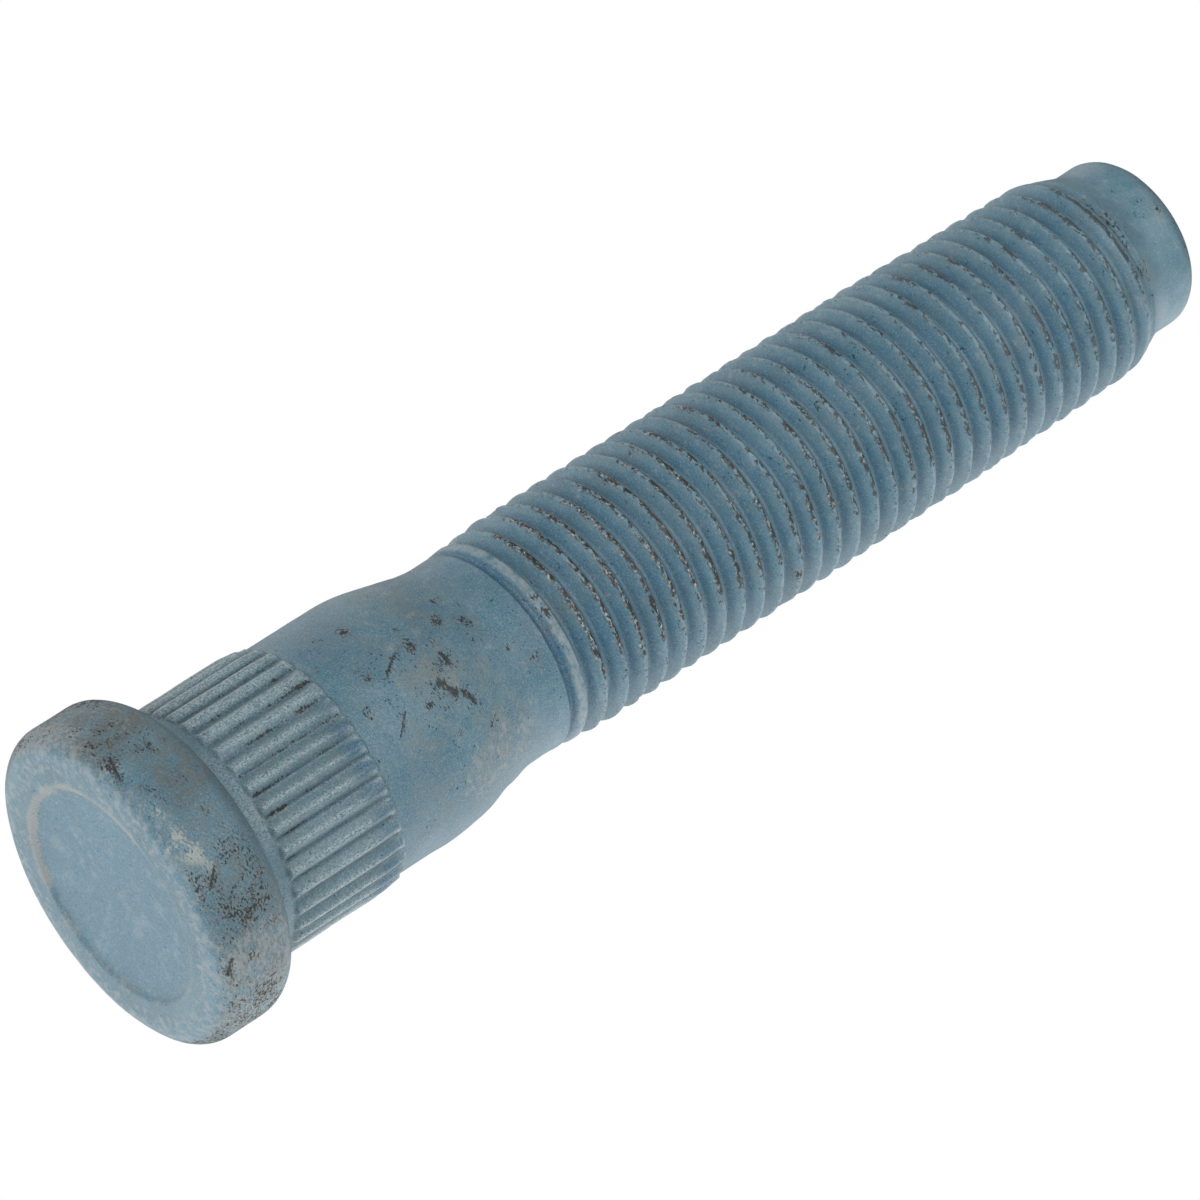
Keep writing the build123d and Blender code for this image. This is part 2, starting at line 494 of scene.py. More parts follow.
# %% Thread
keep("thread", groove_share(z) * between(z, 27.2, 28.2, 74.2, 75.2))
camera_side = -93
level = z - thread_pitch * (degrees - camera_side) / 360
# Painted shade: the run-out groove where the thread begins is filled with darker blue and edged with a dark
# line.
keep("first_groove_shade", between(level, 27.3, 27.6, 28.5, 28.8))
# Painted shade at the neck beside the first groove; past the rib ends and on the thread near -72 degrees the
# blue is only made darker.
neck_shade_band = between(level, 24.5, 27.4, 28.2, 28.5) * np.maximum(near(-98, 50), 0.5)
beside_ribs = between(z, 14.2, 15.2, 17.5, 20.5) * (1 - near(-102, 40))
darker_thread_side = 0.6 * near(-72, 20) * between(z, 29.5, 31, 37, 39)
keep("deeper", np.maximum.reduce([neck_shade_band, 0.7 * beside_ribs, darker_thread_side]))
on_crests = rise(level, 29.2, 29.8) * fall(z, 74.2, 75.0)
keep("crests", on_crests)
crest_marks = [
    (-138, 33.0, 1.2, 0.8), (-101, 33.1, 0.9, 1.0), (-74, 33.3, 2.0, 0.9), (-141, 31.4, 1.0, 0.9),
    (-78, 31.7, 2.2, 0.9), (-64, 31.8, 0.8, 0.9), (-127, 30.0, 1.0, 1.0), (-74, 30.3, 1.8, 0.9),
    (-150, 45.0, 0.8, 1.0), (-131, 45.0, 0.8, 0.8), (-66, 45.3, 1.3, 0.8), (-66, 44.0, 1.3, 0.8),
    (-150, 42.0, 0.8, 0.8), (-111, 40.6, 1.1, 1.0), (-57, 41.0, 1.2, 0.7), (-123, 36.2, 1.6, 0.9),
    (-92, 37.6, 1.4, 0.9), (-70, 39.2, 1.8, 0.9), (-104, 48.1, 1.6, 0.8), (-80, 52.7, 1.5, 0.8),
    (-128, 54.0, 1.3, 0.8), (-96, 57.2, 1.2, 0.8), (-66, 58.8, 1.5, 0.7), (-129, 69.0, 0.7, 1.0),
    (-109, 69.1, 0.4, 0.9), (-102, 69.1, 0.5, 0.9), (-68, 69.2, 1.2, 0.5), (-123, 67.4, 0.6, 1.0),
    (-113, 66.0, 0.9, 1.0), (-135, 64.4, 0.6, 0.9), (-141, 63.0, 0.7, 1.0), (-128, 63.0, 0.6, 1.0),
    (-136, 71.9, 1.3, 1.0), (-118, 71.9, 1.3, 1.0), (-97, 71.9, 1.2, 0.9), (-79, 72.0, 1.0, 0.8),
    (-142, 73.3, 0.9, 0.8), (-127, 73.4, 1.0, 1.0), (-106, 73.5, 1.4, 1.0), (-88, 73.4, 1.3, 1.0),
    (-60, 72.8, 1.0, 0.7), (-142, 61.3, 0.6, 1.0), (-124, 60.0, 0.7, 1.0),
]
nearer_shank = 1 - 0.45 * rise(z, 33, 46) - 0.25 * rise(z, 50, 62)
rubbed_side = np.maximum(near(-98, 68), 0.8 * near(70, 80))
even_wear = rubbed_side * (0.5 + 0.6 * lumps(angle, z, 2.3, 11)) * nearer_shank
even_wear = np.maximum(even_wear, 0.75 * near(-70, 30) * (0.4 + 0.8 * lumps(angle, z, 2.3, 18)))
keep("wear", on_crests * np.maximum(even_wear, smudges(crest_marks)))
first_ridge = between(level, 28.25, 28.5, 28.85, 29.0)

# %% Ribs
beside_groove = np.abs((angle * rib_count / (2 * np.pi)) % 1.0 - 0.5) * 2 * np.pi / rib_count * shank_r
rib_stop = rib_stops(angle)
between_ribs = between(z, 6.75, 7.1, rib_stop - 0.35, rib_stop - 0.1) * (radius < 8.2)
# Painted shade: a dark line along the grooves between the ribs, and a painted shadow around the foot of each
# rib end.
rib_groove_shade = between_ribs * fall(beside_groove, 0.05, 0.17)
rib_end_shadow = np.exp(-((inside_rib(angle, z) + 0.03) / 0.07) ** 2) * rise(z, rib_stop - 0.6, rib_stop - 0.2)
keep("groove", np.maximum(rib_groove_shade, 0.6 * rib_end_shadow * (z < 15.6)))
rib_top = rib_height(angle, z) / rib_h * (z > 6.3) * (z < 15.3)
# Painted highlight: a pale rim around the low end of each rib.
tongue_edge_highlight = between(rib_top, 0.08, 0.25, 0.35, 0.6) * rise(z, rib_stop - 0.8, rib_stop - 0.2)
collar = between(z, 5.5, 6.0, 6.6, 6.9) * (radius < 8.3)
# Around -82 and 0 degrees the falling ramps keep their unrubbed coat, and a deep blue paints shade on them
# where they turn away from the light.
unrubbed_and_shaded = np.maximum(near(-82, 42), near(0, 60))
# Rubbed grain, broad on the ribs near -145 and 80 degrees and on a patch near -112; on the upper-left ribs
# this paleness is a painted highlight where the light falls.
broad_grain_and_highlight = 0.3 + 0.55 * np.maximum(near(-145, 50), near(80, 60))
broad_grain_and_highlight = np.maximum(broad_grain_and_highlight, 0.8 * near(-112, 24) * fall(z, 8.5, 10.5))
rib_grain_and_highlight = (broad_grain_and_highlight + (1 - broad_grain_and_highlight) * rise(rib_top, 0.8, 0.98)) * rise(rib_top, 0.3, 0.5)
rib_grain_and_highlight = rib_grain_and_highlight * (1 - unrubbed_and_shaded * rise(z, 12.0, 13.2))
collar_grain = (0.25 + 0.45 * near(-98, 36)) * collar
# The grain number holds rubbed grain and painted highlights on the upper-left ribs and the rib ends.
keep("grain", np.maximum.reduce([rib_grain_and_highlight, collar_grain, 0.9 * tongue_edge_highlight]))
keep("ramp", unrubbed_and_shaded * rise(z, 12.2, 13.6) * rise(rib_top, 0.2, 0.4) * (1 - tongue_edge_highlight))
keep("ribs", between(z, 6.3, 6.9, rib_stop - 0.6, rib_stop + 0.3) * (radius < 8.2))

# %% Dirt on the head, the shank and the ribs
head_marks = [
    (-127, 4.7, 0.54, 0.48), (-128, 2.9, 1.08, 0.53), (-131, 0.9, 0.72, 0.53), (-140, 1.0, 0.81, 0.44),
    (-153, 1.3, 1.08, 0.40), (-143, 1.8, 0.90, 0.44), (-123, 0.45, 0.72, 0.53), (-116, 1.1, 0.72, 0.44),
    (-110, 1.4, 0.63, 0.44), (-85, 2.5, 0.90, 0.53), (-68, 3.5, 0.63, 0.44), (-65, 2.6, 0.99, 0.57),
    (-51, 1.9, 0.72, 0.44), (-58, 1.0, 0.81, 0.48), (-47, 0.45, 0.54, 0.57), (-40, 1.2, 0.81, 0.44),
    (-79, 1.3, 0.81, 0.48), (-100, 3.0, 0.72, 0.35), (-112, 3.0, 0.72, 0.40), (-92, 3.2, 0.63, 0.35),
    (20, 1.2, 1.08, 0.48), (48, 2.8, 0.99, 0.48), (75, 0.9, 0.90, 0.44), (104, 2.2, 1.17, 0.53),
    (150, 3.4, 0.99, 0.44),
]
shank_marks = [
    (-129, 23.6, 0.4, 0.6), (-112.5, 24.1, 0.6, 0.7), (-118.5, 22.75, 0.5, 0.66), (-111, 21.4, 0.35, 0.55),
    (-113, 20.2, 0.5, 0.66), (-99, 20.85, 0.5, 0.6), (-87.5, 19.0, 0.55, 0.7), (-137, 18.1, 0.55, 0.66),
    (-112.5, 17.05, 0.4, 0.55), (-114.5, 16.8, 0.45, 0.6), (-141, 16.5, 0.5, 0.5), (-100.5, 15.55, 0.5, 0.55),
    (-65, 22.3, 0.5, 0.6), (-70.5, 19.9, 0.25, 0.6), (-90, 25.5, 0.25, 0.55), (-93, 22.5, 0.3, 0.5),
    (-78, 26.7, 0.6, 0.42), (-36, 16.4, 0.6, 0.45), (-124, 20.3, 0.25, 0.55), (25, 18.5, 0.7, 0.65),
    (58, 21.6, 0.8, 0.65), (88, 16.8, 0.6, 0.65), (121, 23.2, 0.7, 0.65), (140, 18.0, 0.6, 0.6),
    (166, 20.6, 0.6, 0.6),
]
thread_marks = [
    (-148, 45.0, 0.4, 0.5), (-148, 40.4, 0.4, 0.45), (-138, 37.5, 0.35, 0.5), (-108, 50.9, 0.5, 0.5),
    (-95, 28.7, 0.7, 0.6), (-104, 28.65, 0.6, 0.55), (-33, 45.3, 0.5, 0.5), (-23, 58.3, 0.4, 0.45),
    (-100, 78.2, 0.3, 0.6), (55, 39.0, 0.5, 0.5), (95, 52.6, 0.5, 0.5), (130, 33.4, 0.5, 0.5),
    (-122, 74.4, 0.7, 0.4), (-108, 74.5, 0.8, 0.5), (-92, 74.5, 0.7, 0.45), (-74, 74.6, 0.8, 0.45),
]
near_noses = np.maximum(near(-74, 30), near(90, 50)) * fall(z, 7.6, 9.2)
packed = np.maximum(near_noses, near(-118, 26) * rise(z, 12.0, 13.4))
in_groove = between_ribs * fall(beside_groove, 0.02, 0.14)
rib_dirt = in_groove * (0.55 * rise(lumps(angle, z, 0.9, 12), 0.3, 0.7) + 0.4 * packed)
on_flank = fall(z, seat_z - 1.3, seat_z - 0.6) * rise(radius, 8.9, 9.6)
pilot_rim = 0.6 * rise(z, 78.1, 78.7) * rise(radius, 3.6, 4.4) * lumps(angle, z, 1.5, 14)
spots = np.maximum(smudges(head_marks) * rise(radius, 8.9, 9.4), smudges(shank_marks + thread_marks))
far_side = np.maximum(near(-162, 40), 0.6 * near(30, 60))
flank_dirt = on_flank * (0.5 + 0.15 * far_side) * lumps(angle, z, 2.2, 13) * (1 - 0.6 * near(-103, 14))
keep("dirt", np.maximum.reduce([rib_dirt, flank_dirt, pilot_rim, spots]))

# %% Film, painted shade on the back edge of the head, and stains
# The film is left out where the painted highlight lies on the rim.
film_gap_under_gleam = on_flank * np.maximum(0.5 * near(-95, 14), 0.7 * near(-114, 24) * fall(z, 1.3, 2.2))
# Painted shade: the back edge of the head, which turns away from the light, is darkened with the film's grey.
back_edge_shade = between(z, 3.2, 4.4, seat_z - 0.3, seat_z) * rise(radius, 8.6, 9.2)
film_and_shade = np.maximum(on_flank * (0.6 + 0.5 * lumps(angle, z, 2.8, 16) + 0.6 * far_side), 1.6 * pilot_rim)
film_and_shade = np.maximum(film_and_shade, back_edge_shade * (0.5 + 0.4 * lumps(angle, z, 2.0, 19)))
head_halos = [(place, at_z, 2.2 * size, min(1, 1.8 * amount)) for place, at_z, size, amount in head_marks]
film_and_shade = np.maximum(film_and_shade, 0.9 * smudges(head_halos) * on_flank) * (1 - film_gap_under_gleam)
thinner = (1 - rise(radius, 8.0, 8.6) * (z < 1)) * (1 - 0.7 * rise(z, 73, 75))
keep("film_and_shade", np.maximum(film_and_shade, 0.3 * lumps(angle, z, 1.7, 17) * thinner))
stain_marks = [
    (-98, 20.8, 2.0, 0.9), (-92, 19.6, 1.6, 0.7), (-140, 21.5, 2.2, 0.7), (-80, 17.6, 1.0, 0.6),
    (-62, 22.4, 1.6, 0.8), (-50, 21.5, 1.8, 0.8), (-58, 24.4, 1.2, 0.6), (-125, 18.5, 1.5, 0.5),
    (-58, 17.5, 2.2, 0.6), (-86, 22.6, 1.5, 0.5), (70, 20, 2.5, 0.7), (130, 21, 2.5, 0.6), (15, 22, 2.0, 0.6),
]
mark_halos = [(place, at_z, 2.0 * size, amount) for place, at_z, size, amount in shank_marks + thread_marks]
keep("stain", np.maximum(smudges(stain_marks), 0.8 * smudges(mark_halos)))

# %% Scuffs, a painted highlight on the rim, and the lip of the recess
shank_scuff = np.maximum(near(-50, 24) * rise(z, 18.5, 20.5), 0.6 * near(-158, 20) * rise(z, 20, 22))
shank_scuff = np.maximum(shank_scuff, 0.7 * near(80, 40) * rise(z, 19, 21)) * fall(z, 24.5, 26)
head_scuff = np.maximum.reduce([near(-170, 34), 0.8 * near(-35, 34), 0.5 * near(70, 60)])
head_scuff = head_scuff * rise(radius, 8.6, 9.4) * fall(z, seat_z - 0.8, seat_z - 0.2)
head_scuff = head_scuff * (1 - 0.7 * near(-160, 30) * rise(z, 1.0, 2.0))
rim_scuff = 0.55 * rise(radius, 7.0, 8.0) * fall(z, 0.2, 0.9) * (z < 2)
keep("scuff", np.maximum.reduce([0.5 * shank_scuff, head_scuff, rim_scuff, 0.8 * first_ridge]))
# Painted highlight: pale gleaming spots on the rim of the head.
gleam_marks = [
    (-97, 0.9, 0.9, 1.0), (-90, 1.2, 1.0, 1.0), (-84, 1.5, 0.7, 0.9), (-118, 0.8, 0.8, 0.55),
    (-108, 0.8, 0.9, 0.65),
]
keep("gleam", smudges(gleam_marks) * (radius > 8.8))
lip = np.exp(-((radius - recess_r + 0.02) / 0.38) ** 2) * (z < 0.3)
lip_side = 0.45 + 0.55 * near(180, 130)
keep("lip", lip * lip_side * (0.4 + 0.8 * lumps(angle, 0 * z, 1.3, 15)))
keep("clean", fall(radius, 5.9, 6.5) * (z < 1))

# %% [markdown]
# ## The blue coating
# The coating is a thin satin layer of blue-grey with a fine grain. Painted shade makes it deeper at the foot
# of the thread's flanks, in the first groove, at the neck, between the ribs and on their ramps, and a painted
# highlight makes it paler at the root of the thread. On top of it lie the grey film on the rim, with painted
# shade on the back edge of the head, tan stains, pale scuffs, rubbed grain with painted highlights on the
# upper-left ribs and the rib ends, the worn lip of the recess, dirt, a painted highlight on the rim,
# scratches and the bare crests, black as painted shade on their tip side, in that order. Every layer is a
# colour that is mixed in where a noise passes a threshold, and the numbers on the skin lower the threshold.
# So a layer ends in a speckled edge, as wear does, and never in a soft airbrushed one. The noise is read at
# places in space, not on an unwrapped picture, so it has no seam.

# %% Helpers for the material
coat = bpy.data.materials.new("blue_coating")
coat.use_nodes = True
shader = coat.node_tree.nodes["Principled BSDF"]


def put(kind, inputs, tree=coat.node_tree, **settings):
    """Add a node, set it up, and fill its inputs by name or number with values or other outputs."""
    made = tree.nodes.new(kind)
    for name, value in settings.items():
        setattr(made, name, value)
    for name, value in inputs.items():
        if isinstance(value, bpy.types.NodeSocket):
            tree.links.new(value, made.inputs[name])
        else:
            made.inputs[name].default_value = value
    return made


def maths(operation, first, second=0.0):
    """One sum, product or other operation on two numbers."""
    return put("ShaderNodeMath", {0: first, 1: second}, operation=operation).outputs[0]


def sum_of(first, second):
    """First plus second."""
    return maths("ADD", first, second)


def product(first, second):
    """First times second."""
    return maths("MULTIPLY", first, second)


def over(value, start, end):
    """0 at start, 1 at end, and a smooth curve between them; start may be the higher one."""
    span = {"Value": value, "From Min": start, "From Max": end}
    return put("ShaderNodeMapRange", span, interpolation_type="SMOOTHSTEP").outputs["Result"]


def around(value, middle, half_width):
    """1 where value is close to the middle, 0 where it is half_width or more away."""
    return over(maths("ABSOLUTE", sum_of(value, -middle)), half_width, 0.4 * half_width)


def blend(amount, under, above):
    """The colour under where amount is 0 and the colour above where it is 1."""
    return put("ShaderNodeMix", {0: amount, 6: under, 7: above}, data_type="RGBA").outputs[2]


def worn(name):
    """A number that was stored on the skin."""
    return put("ShaderNodeAttribute", {}, attribute_name=name).outputs["Fac"]


def grains(size_mm, detail, stretch=1.0):
    """Noise around 0.5 with grains of a size in mm, longer around the stud where stretch is above 1."""
    per_mm = (1000 / stretch, 1000 / stretch, 1000 * stretch)
    scaled = put("ShaderNodeMapping", {"Vector": object_place, "Scale": per_mm}).outputs[0]
    noise = {"Vector": scaled, "Scale": 1 / size_mm, "Detail": detail, "Roughness": 0.6}
    return put("ShaderNodeTexNoise", noise).outputs["Fac"]


object_place = put("ShaderNodeTexCoord", {}).outputs["Object"]

# %% Place on the thread
axes = put("ShaderNodeSeparateXYZ", {0: object_place}).outputs
turned = product(maths("ARCTAN2", axes["Y"], axes["X"]), -1 / (2 * np.pi))
climbed = sum_of(product(axes["Z"], 1 / (thread_pitch * MM)), 0.5 - crest_at_angle_0 / thread_pitch)
profile = sum_of(maths("FRACT", sum_of(climbed, turned)), -0.5)
from_crest = maths("ABSOLUTE", profile)
print(f"place on the thread: 0 at the crests and 0.5 at the roots, every {thread_pitch} mm")

# %% Blue of the blank
mid_blue, pale_blue = (0.092, 0.205, 0.275, 1), (0.137, 0.256, 0.322, 1)
clean_blue, clean_pale, smear_blue = (0.082, 0.212, 0.305, 1), (0.118, 0.245, 0.325, 1), (0.25, 0.345, 0.4, 1)
rib_grey, ramp_blue = (0.122, 0.203, 0.238, 1), (0.06, 0.16, 0.25, 1)
broad, cloud, fine, dust = grains(5.0, 3), grains(0.9, 4), grains(0.16, 2, 1.2), grains(0.1, 1)
colour = blend(over(sum_of(product(broad, 0.55), product(cloud, 0.45)), 0.4, 0.6), mid_blue, pale_blue)
cloud_and_fine = product(sum_of(cloud, fine), 0.5)
mottled = over(cloud_and_fine, 0.42, 0.58)
colour = blend(worn("clean"), colour, blend(mottled, clean_blue, clean_pale))
smears = product(worn("clean"), over(grains(1.6, 3), 0.55, 0.68))
colour = blend(product(smears, 0.45), colour, smear_blue)
colour = blend(product(worn("ribs"), 0.75), colour, rib_grey)
# ramp_blue: unrubbed coat with painted shade on the falling ends of the ribs.
colour = blend(product(worn("ramp"), 0.7), colour, ramp_blue)
print(f"blue of the blank: {len(coat.node_tree.nodes)} nodes so far")

# %% Painted shade in the grooves and a painted highlight at the root
flank_shade_blue, root_highlight_blue, neck_blue = (0.062, 0.18, 0.275, 1), (0.165, 0.3, 0.38, 1), (0.056, 0.165, 0.255, 1)
first_groove_shade_blue, groove_edge_shade_blue, rib_groove_shade_blue = (0.04, 0.14, 0.23, 1), (0.02, 0.07, 0.12, 1), (0.03, 0.075, 0.105, 1)
# Painted shade: the foot of each thread flank is darkened to a deeper blue.
flank_foot_shade = product(worn("thread"), around(profile, -0.36, 0.16))
colour = blend(product(flank_foot_shade, 0.6), colour, flank_shade_blue)
# Painted highlight: a pale blue line along the root of the thread.
root = product(worn("thread"), over(from_crest, 0.43, 0.48))
colour = blend(product(root, 0.7), colour, root_highlight_blue)
# neck_blue: painted shade at the neck, and a darker blue past the ribs and on one side of the thread.
colour = blend(product(worn("deeper"), 0.55), colour, neck_blue)
# Painted shade: the first groove in darker blue, with a dark painted line along its edge.
first_groove_shade = product(worn("first_groove_shade"), over(from_crest, 0.26, 0.34))
colour = blend(product(first_groove_shade, 0.85), colour, first_groove_shade_blue)
groove_edge_shade = product(worn("first_groove_shade"), around(profile, 0.31, 0.05))
colour = blend(product(groove_edge_shade, 0.6), colour, groove_edge_shade_blue)
# Painted shade in the rib grooves and painted shadow at the rib ends.
colour = blend(product(worn("groove"), 0.72), colour, rib_groove_shade_blue)
print(f"blue of the grooves: {len(coat.node_tree.nodes)} nodes so far")

# %% Grain with painted highlights, film with painted shade, stains and scuffs
pale_grain, pore_blue, film_and_shade_grey = (0.38, 0.48, 0.51, 1), (0.045, 0.12, 0.17, 1), (0.12, 0.115, 0.095, 1)
stain_tan, chalk, rubbed_and_highlight_grey = (0.2, 0.195, 0.16, 1), (0.33, 0.37, 0.385, 1), (0.43, 0.52, 0.545, 1)
colour = blend(product(over(dust, 0.5, 0.68), 0.28), colour, pale_grain)
pores = product(over(dust, 0.46, 0.3), over(axes["Z"], 0.05, 0.02))
colour = blend(product(pores, 0.35), colour, pore_blue)
# Film, and painted shade on the back edge of the head.
film_and_shade_share = product(worn("film_and_shade"), over(sum_of(product(cloud, 0.6), product(fine, 0.4)), 0.3, 0.62))
colour = blend(product(film_and_shade_share, 0.8), colour, film_and_shade_grey)
stained = product(worn("stain"), over(cloud_and_fine, 0.36, 0.6))
colour = blend(product(stained, 0.65), colour, stain_tan)
scratchy = sum_of(product(grains(0.3, 3, 1.5), 0.6), product(cloud, 0.4))
scuffed = over(sum_of(product(worn("scuff"), 0.2), scratchy), 0.55, 0.75)
colour = blend(product(scuffed, 0.6), colour, chalk)
# Rubbed grain, and painted highlights on the upper-left ribs and the rib ends.
rubbed = product(worn("grain"), over(grains(0.1, 2, 0.75), 0.38, 0.62))
colour = blend(product(rubbed, 0.8), colour, rubbed_and_highlight_grey)
print(f"grain, film, stains and scuffs: {len(coat.node_tree.nodes)} nodes so far")

# %% Lip, dirt and a painted highlight on the rim
black, brown, tan = (0.018, 0.018, 0.017, 1), (0.1, 0.08, 0.062, 1), (0.27, 0.25, 0.21, 1)
lip_grey, gleam_grey = (0.38, 0.36, 0.33, 1), (0.5, 0.5, 0.43, 1)
lip_line = over(sum_of(product(worn("lip"), 0.34), cloud_and_fine), 0.58, 0.8)
colour = blend(product(lip_line, 0.6), colour, lip_grey)
speckle = sum_of(product(grains(0.16, 3, 1.35), 0.7), product(cloud, 0.3))
dirty = over(sum_of(worn("dirt"), product(sum_of(speckle, -0.5), 2.4)), 0.44, 0.6)
dirty = product(dirty, over(worn("dirt"), 0.03, 0.12))
kind_of_dirt = grains(0.22, 2)
dirt_colour = blend(over(kind_of_dirt, 0.54, 0.62), black, brown)
dirt_colour = blend(over(kind_of_dirt, 0.63, 0.72), dirt_colour, tan)
colour = blend(product(dirty, 0.9), colour, dirt_colour)
# Painted highlight on the rim.
gleaming = over(sum_of(worn("gleam"), product(sum_of(speckle, -0.5), 3.0)), 0.55, 0.95)
colour = blend(product(gleaming, 0.55), colour, gleam_grey)
print(f"lip, dirt and gleam: {len(coat.node_tree.nodes)} nodes so far")

# %% [markdown]
# ### Scratches
# Something hard has dragged over the shank and the rim and left short dark strokes. They could be thin
# pieces of their own, but a stroke has no height to speak of. In the material a stroke is the space close to
# a straight line between two points of the skin. The speckle bends that distance, so its edge is ragged.

# %% Scratches
flank_outline = head_outline[head_outline[:, 0] > recess_r + recess_edge_r]


def on_skin(place, height):
    """The point of the shank or head at an angle in degrees and a height in millimetres."""
    outline = flank_outline if height < seat_z else wall_outline
    out = np.interp(height, outline[:, 1], outline[:, 0])
    return Vector((out * cos(radians(place)), out * sin(radians(place)), height)) * MM


def vectors(operation, inputs):
    """The outputs of one operation on vectors."""
    return put("ShaderNodeVectorMath", inputs, operation=operation).outputs


def scratch(start, end, half_w):
    """1 on a straight scratch from start to end, 0 further away than half_w: the distance to its line.

    The nearest point of the line is at the share (place . line) / length^2 of it, kept from 0 to 1.
    """
    line = on_skin(*end) - on_skin(*start)
    there = vectors("SUBTRACT", {0: object_place, 1: on_skin(*start)})[0]
    share = vectors("DOT_PRODUCT", {0: there, 1: line / line.length_squared})["Value"]
    inside = put("ShaderNodeClamp", {"Value": share}).outputs[0]
    foot = vectors("SCALE", {0: line, "Scale": inside})[0]
    away = vectors("DISTANCE", {0: there, 1: foot})["Value"]
    ragged = sum_of(product(speckle, 7.0), -2.5)
    return over(product(away, ragged), half_w * MM, 0.4 * half_w * MM)


scratches = [
    ((-116.5, 19.9), (-114.8, 19.2), 0.1), ((-114.8, 19.2), (-109.5, 18.1), 0.17),
    ((-91, 17.5), (-83, 16.45), 0.07), ((-104, 21.4), (-98, 21.45), 0.2),
    ((-93.5, 20.25), (-86, 20.75), 0.26), ((-84, 21.3), (-79, 21.55), 0.22),
    ((-83, 1.7), (-78, 1.0), 0.1), ((-131, 0.9), (-124, 0.55), 0.12),
    ((-52, 0.75), (-46, 0.45), 0.14), ((40, 17.2), (52, 18.6), 0.12),
]
scratched = scratch(*scratches[0])
for places in scratches[1:]:
    scratched = maths("MAXIMUM", scratched, scratch(*places))
colour = blend(product(scratched, 0.9), colour, dirt_colour)
print(f"{len(scratches)} scratches")

# %% [markdown]
# ### Bare crests
# A nut touches only the crests of the thread. There the coating is rubbed pale, then through to the steel,
# which has turned black, brown and grey in short dashes. Towards the side that faces the tip the dashes turn
# black as painted shade. The place across the pitch, which the thread was made from, also says where a crest
# is, and a noise moves that line a little to either side.

# %% Bare crests
bright, crest_grey = (0.42, 0.46, 0.46, 1), (0.27, 0.335, 0.355, 1)
crest_grain = grains(0.2, 2, 1.25)
side = sum_of(profile, product(sum_of(sum_of(crest_grain, grains(0.7, 1)), -1.0), 0.15))
crest_line = product(around(side, 0.0, 0.15), worn("crests"))
paler = product(product(around(side, -0.01, 0.1), worn("crests")), over(crest_grain, 0.4, 0.65))
colour = blend(product(paler, 0.55), colour, crest_grey)
bare = over(sum_of(product(worn("wear"), 0.25), grains(0.3, 3, 1.4)), 0.6, 0.66)
bare = product(product(bare, crest_line), sum_of(product(axes["Z"], -6.0), 1.15))
# Lowered towards the tip-facing side of each crest, so the bare line turns black there: painted shade on the
# flank that faces away from the light.
steel_and_shade_kind = sum_of(sum_of(grains(0.17, 2, 1.5), product(side, -0.3)), product(axes["Z"], -2.2))
steel_and_shade_kind = sum_of(steel_and_shade_kind, 0.06)
steel_colour = blend(over(steel_and_shade_kind, 0.49, 0.54), black, brown)
steel_colour = blend(over(steel_and_shade_kind, 0.55, 0.6), steel_colour, tan)
steel_colour = blend(over(steel_and_shade_kind, 0.6, 0.66), steel_colour, bright)
colour = blend(bare, colour, steel_colour)
coat.node_tree.links.new(colour, shader.inputs["Base Color"])
print(f"bare crests: {len(coat.node_tree.nodes)} nodes so far")

# %% [markdown]
# ### Gloss and fine relief
# The satin of the coating is duller under dirt, film and the painted shade of the head's back edge, and the
# rubbed ribs shine a little more. Under a lamp its surface looks like fine leather. That relief is finer than
# the mesh, so a Bump node makes it. All that the outline shows is in the mesh already.

# %% Gloss and fine relief
rough = sum_of(product(sum_of(fine, cloud), 0.2), 0.24)
rough = sum_of(rough, product(worn("ribs"), -0.12))
rough = sum_of(rough, product(sum_of(dirty, film_and_shade_share), 0.2))
coat.node_tree.links.new(rough, shader.inputs["Roughness"])
relief = sum_of(sum_of(product(fine, 0.45), product(grains(0.35, 2), 0.3)), product(dust, 0.4))
relief = product(relief, over(axes["Z"], 0.075, 0.02))
relief = sum_of(relief, product(maths("MAXIMUM", maths("MAXIMUM", dirty, scratched), bare), -0.5))
bump = put("ShaderNodeBump", {"Height": relief, "Distance": 0.1 * MM, "Strength": 0.7})
coat.node_tree.links.new(bump.outputs["Normal"], shader.inputs["Normal"])
skin.materials.append(coat)
print(f"coating: {len(coat.node_tree.nodes)} nodes")

# %% [markdown]
# ## Studio light
# The stud was photographed on a white table in a white tent. Such a tent lights the edges of a round part
# from behind and below, where the bright table is, and leaves its middle darker. A white world gives the
# even part of that light. Each soft lamp is a sun as wide as a large window, so its shadows have no edge.
# Area lamps would do too, but a sun lights the near and the far end of a long part alike. A lamp's place is
# given by how far it stands to the right of the camera, above it and towards it.

# %% World and lamps
world = bpy.data.worlds.new("white_tent")
world.use_nodes = True
bpy.context.scene.world = world
sky = world.node_tree
sky.nodes.clear()
even_light = put("ShaderNodeBackground", {"Color": (1, 1, 1, 1), "Strength": 0.2}, sky).outputs[0]
backdrop = put("ShaderNodeBackground", {"Color": (1, 1, 1, 1), "Strength": 1.0}, sky).outputs[0]
is_seen = put("ShaderNodeLightPath", {}, sky).outputs["Is Camera Ray"]
tent = put("ShaderNodeMixShader", {0: is_seen, 1: even_light, 2: backdrop}, sky).outputs[0]
put("ShaderNodeOutputWorld", {"Surface": tent}, sky)
bpy.context.scene.view_settings.view_transform = "Standard"

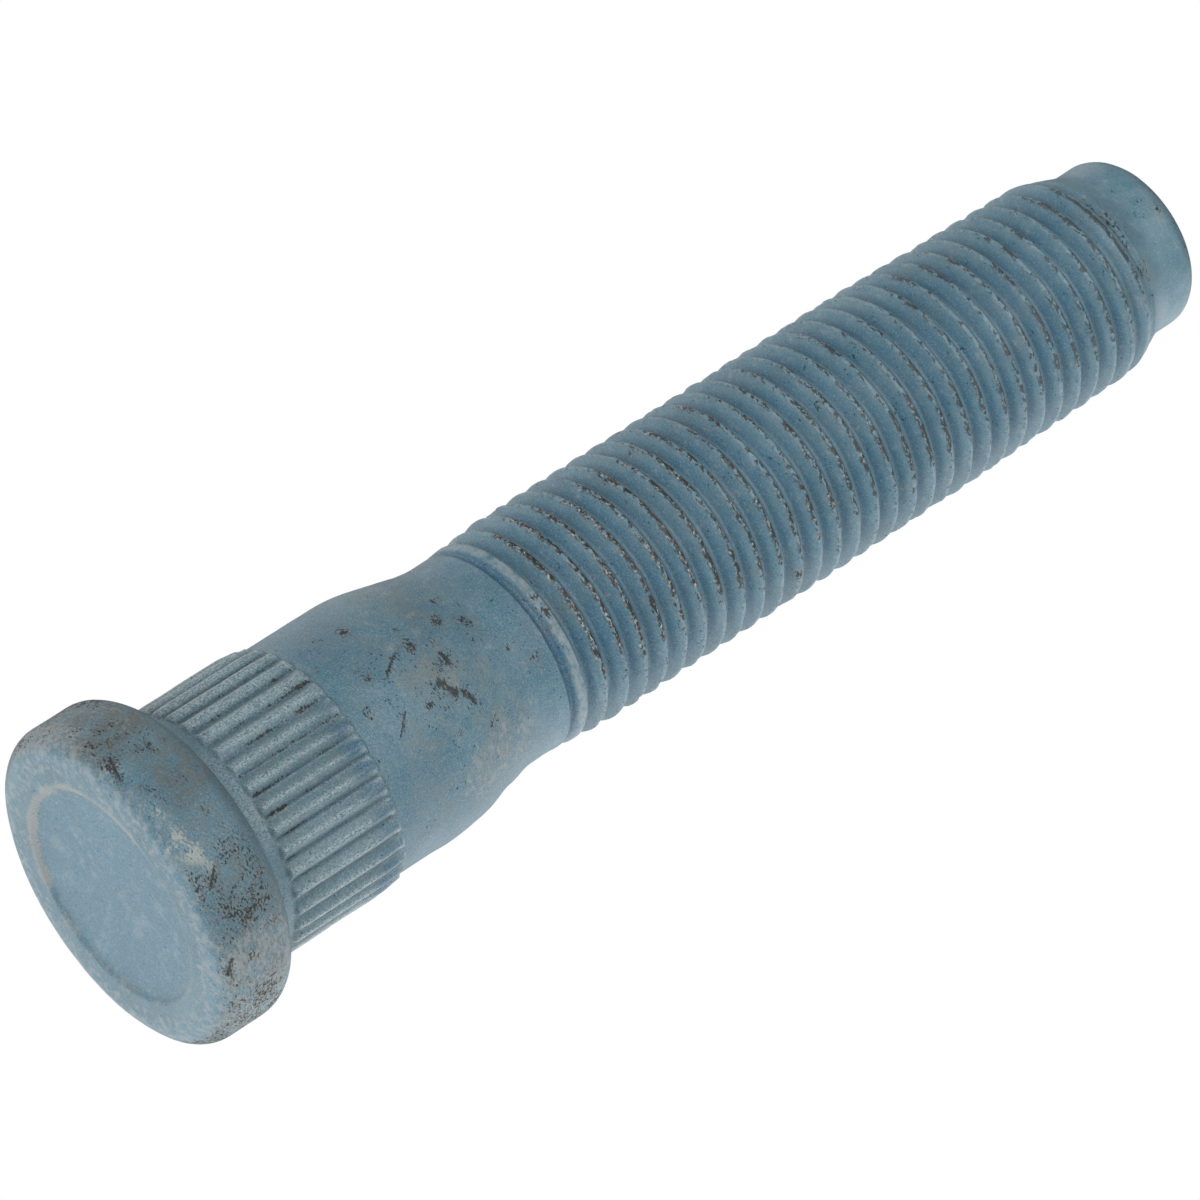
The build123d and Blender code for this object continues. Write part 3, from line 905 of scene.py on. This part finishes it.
lamps = {
    "table_right": (1.0, -1.0, -1.0, 70, 1.55),
    "table_left": (-1.0, -1.0, -1.0, 70, 1.2),
    "table_above": (-1.0, 1.0, -1.0, 70, 1.0),
    "table_below": (0.0, -1.0, 0.0, 70, 1.15),
    "tent_side": (-1.0, 0.0, 0.0, 70, 0.6),
    "tent_left": (-0.3, 0.0, 0.7, 26, 1.15),
    "tent_right": (0.3, 0.0, 0.7, 26, 0.85),
    "window": (0.9, 0.6, 0.7, 26, 0.65),
}
for name, (rightward, upward, nearward, width, strength) in lamps.items():
    lamp = bpy.data.objects.new(name, bpy.data.lights.new(name, "SUN"))
    lamp.data.energy = strength
    lamp.data.angle = radians(width)
    towards = rightward * right + upward * up + nearward * back
    lamp.rotation_euler = towards.to_track_quat("Z", "Y").to_euler()
    bpy.context.scene.collection.objects.link(lamp)
print(f"{len(lamps)} soft lamps in a white tent")

# %% [markdown]
# ## The floor
# The photograph looks at the head, so in the pose in which the stud stands its camera is below the floor.
# The floor is therefore seen only from above: its back is clear. It takes the shadow of the stud, fades into
# the white around it, and throws no light or shadow of its own.

# %% Floor
floor_r, floor_z, floor_corners = 0.5, -0.02 * MM, 96
floor_mesh = bpy.data.meshes.new("floor")
floor_turn = 2 * np.pi * np.arange(floor_corners) / floor_corners
floor_x, floor_y = floor_r * np.cos(floor_turn), floor_r * np.sin(floor_turn)
floor_edge = np.stack([floor_x, floor_y, np.full(floor_corners, floor_z)], axis=1)
floor_mesh.from_pydata(floor_edge, [], [list(range(floor_corners))])
floor = bpy.data.objects.new("floor", floor_mesh)
bpy.context.scene.collection.objects.link(floor)
floor.visible_diffuse = False
floor.visible_glossy = False
floor.visible_transmission = False
floor.visible_shadow = False

paper = bpy.data.materials.new("pale_paper")
paper.use_nodes = True
sheet = paper.node_tree
sheet.nodes.clear()
white = put("ShaderNodeBsdfDiffuse", {"Color": (0.8, 0.8, 0.8, 1)}, sheet).outputs[0]
clear = put("ShaderNodeBsdfTransparent", {}, sheet).outputs[0]
floor_place = put("ShaderNodeTexCoord", {}, sheet).outputs["Object"]
from_middle = put("ShaderNodeVectorMath", {0: floor_place}, sheet, operation="LENGTH").outputs["Value"]
fading = {"Value": from_middle, "From Min": 0.06, "From Max": 0.4}
faded = put("ShaderNodeMapRange", fading, sheet, interpolation_type="SMOOTHSTEP").outputs["Result"]
from_below = put("ShaderNodeNewGeometry", {}, sheet).outputs["Backfacing"]
clearness = put("ShaderNodeMath", {0: faded, 1: from_below}, sheet, operation="MAXIMUM").outputs[0]
paper_or_clear = put("ShaderNodeMixShader", {0: clearness, 1: white, 2: clear}, sheet).outputs[0]
put("ShaderNodeOutputMaterial", {"Surface": paper_or_clear}, sheet)
floor_mesh.materials.append(paper)
print(f"floor {2 * floor_r:.1f} m across, clear from below")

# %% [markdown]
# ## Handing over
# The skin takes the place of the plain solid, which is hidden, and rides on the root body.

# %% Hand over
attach(stud, "root")
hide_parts("wheel_stud")
